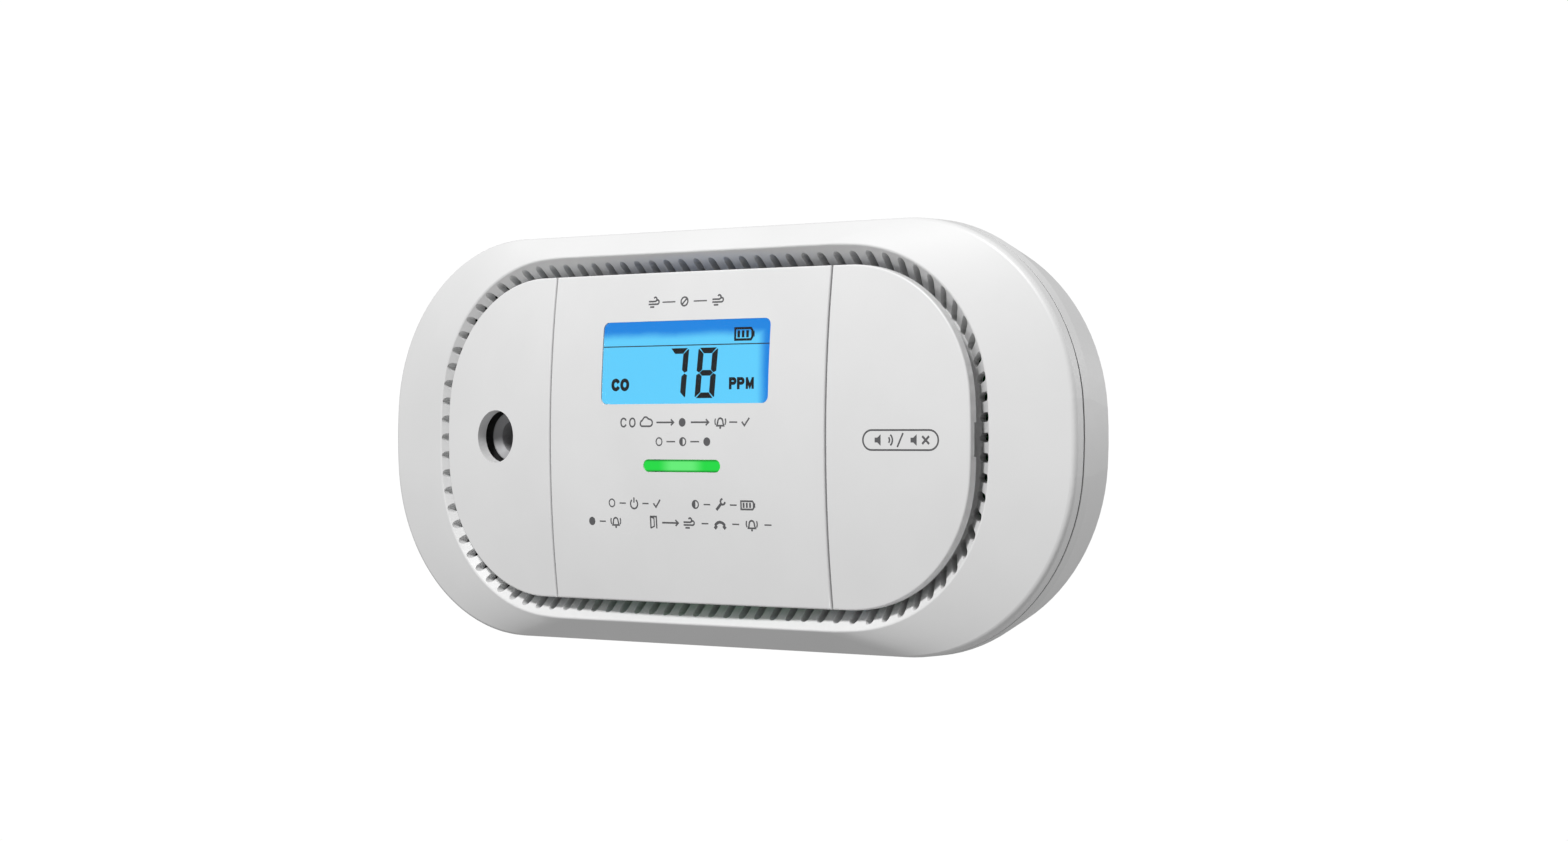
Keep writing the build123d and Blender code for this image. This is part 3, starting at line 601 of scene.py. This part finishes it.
def digit(character, x, z):
    """Slanting seven-segment digit with only its lit bars."""
    faces = []
    for name in LIT[character]:
        faces.append([(x + px + SLANT * pz, z + pz) for px, pz in segment(name)])
    return faces


def letter_c(x, z, w, h, t):
    """Letter about a centre: the width and height of its centre line, and its thickness."""
    r = w / 2
    points = arc(x, z + h / 2 - r, r, 20, 180, 8) + arc(x, z - h / 2 + r, r, 180, 340, 8)
    return stroke(points, t)


def letter_o(x, z, w, h, t):
    r = w / 2
    points = arc(x, z + h / 2 - r, r, 0, 180, 10) + arc(x, z - h / 2 + r, r, 180, 360, 10)
    return stroke(points, t, closed=True)


def letter_p(x, z, w, h, t):
    stem = stroke([(x - w / 2, z - h / 2 - t / 2), (x - w / 2, z + h / 2 + t / 2)], t)
    r = h / 4
    bowl = [(x - w / 2, z + h / 2)] + arc(x + w / 2 - r, z + h / 2 - r, r, 90, -90, 8)
    return stem + stroke(bowl + [(x - w / 2, z)], t)


def letter_m(x, z, w, h, t):
    low, high = z - h / 2 - t / 2, z + h / 2 + t / 2
    legs = stroke([(x - w / 2, low), (x - w / 2, high)], t) + stroke([(x + w / 2, low), (x + w / 2, high)], t)
    return legs + stroke([(x - w / 2, high - t / 2), (x, low + h * 0.3), (x + w / 2, high - t / 2)], t)


def battery_mark(x, z):
    """Full battery with three bars."""
    faces = stroke(
        [(x - 1.58, z - 0.8), (x + 1.2, z - 0.8), (x + 1.45, z - 0.5), (x + 1.45, z + 0.5),
         (x + 1.2, z + 0.8), (x - 1.58, z + 0.8)], 0.34, closed=True)
    faces += [[(x + 1.6, z - 0.42), (x + 1.85, z - 0.42), (x + 1.85, z + 0.42), (x + 1.6, z + 0.42)]]
    for offset in (-0.95, -0.17, 0.61):
        left, right = x + offset - 0.22, x + offset + 0.22
        faces.append([(left, z - 0.5), (right, z - 0.5), (right, z + 0.5), (left, z + 0.5)])
    return faces


def display_marks():
    """What the display shows: the reading with its unit, the gas, a rule and a full battery."""
    low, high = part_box("display_window")
    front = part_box("display_glass")[0].y
    digits_z, small_z, rule_z, battery_z = 9.13, 7.6, 13.12, 14.52
    faces = digit("7", -1.17, digits_z) + digit("8", 4.11, digits_z)
    rule = stroke(line((low.x / MM - 0.5, rule_z), (high.x / MM - 0.5, rule_z), 3.0), 0.15)
    gas = {"w": 1.16, "h": 1.3, "t": 0.54}
    unit = {"w": 0.88, "h": 1.24, "t": 0.46}
    words = letter_c(-12.82, small_z, **gas) + letter_o(-11.1, small_z, **gas)
    words += letter_p(8.9, small_z, **unit) + letter_p(10.33, small_z, **unit)
    words += letter_m(11.93, small_z, 1.02, unit["h"], 0.4) + battery_mark(10.78, battery_z)

    def on_glass(x, z):
        return front

    sunk = 0.02 * MM
    film("display_digits", faces, on_glass, 0.02 * MM, sunk, SEGMENT, "alarm")
    film("display_rule", rule, on_glass, 0.01 * MM, sunk, LETTERS, "alarm")
    film("display_unit_marks", words, on_glass, 0.015 * MM, sunk, SEGMENT, "alarm")


# ---------------------------------------------------------------- stage, light and camera

def stage_material(name, colour, strength):
    made = Nodes(name)
    cloudy = made.ramp(made.noise(0.6), (0.2, shade(colour, 0.995)), (0.8, colour))
    made.link(cloudy, made.shader.inputs["Emission Color"])
    made.set(Base_Color=linear(0, 0, 0), Roughness=1.0, Specular_IOR_Level=0.0)
    made.set(Emission_Strength=strength)
    return made.material


def hide_from_light(piece):
    """The piece is seen by the camera and neither lights nor mirrors in anything."""
    for kind in ("diffuse", "glossy", "transmission", "volume_scatter", "shadow"):
        setattr(piece, f"visible_{kind}", False)


FLOOR_Z, FLOOR_R = -0.35, 2.6
COVE_R = 0.9
STUDIO_WELD = 1e-4


def build_stage():
    """Plain white floor that curves up into a white surround, well clear of the alarm."""
    profile = [(0.0, FLOOR_Z), (FLOOR_R, FLOOR_Z)]
    for angle in (0.4, 0.8, 1.2, math.pi / 2):
        profile.append((FLOOR_R + COVE_R * math.sin(angle), FLOOR_Z + COVE_R * (1 - math.cos(angle))))
    profile += [(3.5, 3.4), (2.4, 4.6), (0.0, 5.0)]
    made = bmesh.new()
    corners = [made.verts.new((radius, 0, height)) for radius, height in profile]
    edges = [made.edges.new(pair) for pair in zip(corners, corners[1:])]
    bmesh.ops.spin(
        made, geom=corners + edges, cent=(0, 0, 0), axis=(0, 0, 1), angle=2 * math.pi, steps=48,
        use_duplicate=False)
    bmesh.ops.remove_doubles(made, verts=made.verts, dist=STUDIO_WELD)
    mesh = bpy.data.meshes.new("studio")
    made.to_mesh(mesh)
    made.free()
    studio = bpy.data.objects.new("studio", mesh)
    scene.collection.objects.link(studio)
    mesh.materials.append(stage_material("studio_look", (1.0, 1.0, 1.0, 1.0), 1.02))
    hide_from_light(studio)


LAMP_REACH = 0.7


def add_lamp(name, kind, direction, energy, **settings):
    """Lamp that shines at the alarm from a direction."""
    data = bpy.data.lights.new(name, kind)
    data.energy = energy
    for key, value in settings.items():
        setattr(data, key, value)
    lamp = bpy.data.objects.new(name, data)
    scene.collection.objects.link(lamp)
    toward = Vector(direction).normalized()
    lamp.rotation_euler = toward.to_track_quat("Z", "Y").to_euler()
    lamp.location = LAMP_REACH * toward


AMBIENT = 0.28


def build_light():
    """Even grey ambience, a key lamp above the front, one behind, and light bounced from below."""
    world = bpy.data.worlds.new("soft_world")
    scene.world = world
    world.use_nodes = True
    background = world.node_tree.nodes["Background"]
    background.inputs["Color"].default_value = (AMBIENT, AMBIENT, AMBIENT, 1.0)
    add_lamp("key", "AREA", (0.028, -0.707, 0.707), 3.75, shape="DISK", size=0.147)
    add_lamp("behind", "SUN", (0.585, 0.745, 0.213), 0.98, angle=math.radians(30))
    add_lamp("bounce", "SUN", (0.0, -0.6, -0.8), 0.25, angle=math.radians(60))


def build_camera():
    """Level camera, turned towards the alarm's right-hand end."""
    turn = math.radians(39.5)
    reach = 427.7 * MM
    aim = Vector((0, -33.0 * MM, 0))
    data = bpy.data.cameras.new("camera")
    data.sensor_width = 36.0
    data.lens = 68.74
    data.shift_x = 0.0617
    data.shift_y = 0.0108
    data.clip_start = 0.01
    camera = bpy.data.objects.new("camera", data)
    scene.collection.objects.link(camera)
    camera.location = aim + reach * Vector((math.sin(turn), -math.cos(turn), 0))
    camera.rotation_euler = (math.pi / 2, 0, turn)
    scene.camera = camera


build_camera()
build_light()
build_stage()
scene.view_settings.view_transform = "Standard"
dress_cad_nodes()
centre_print()
button_print()
display_marks()
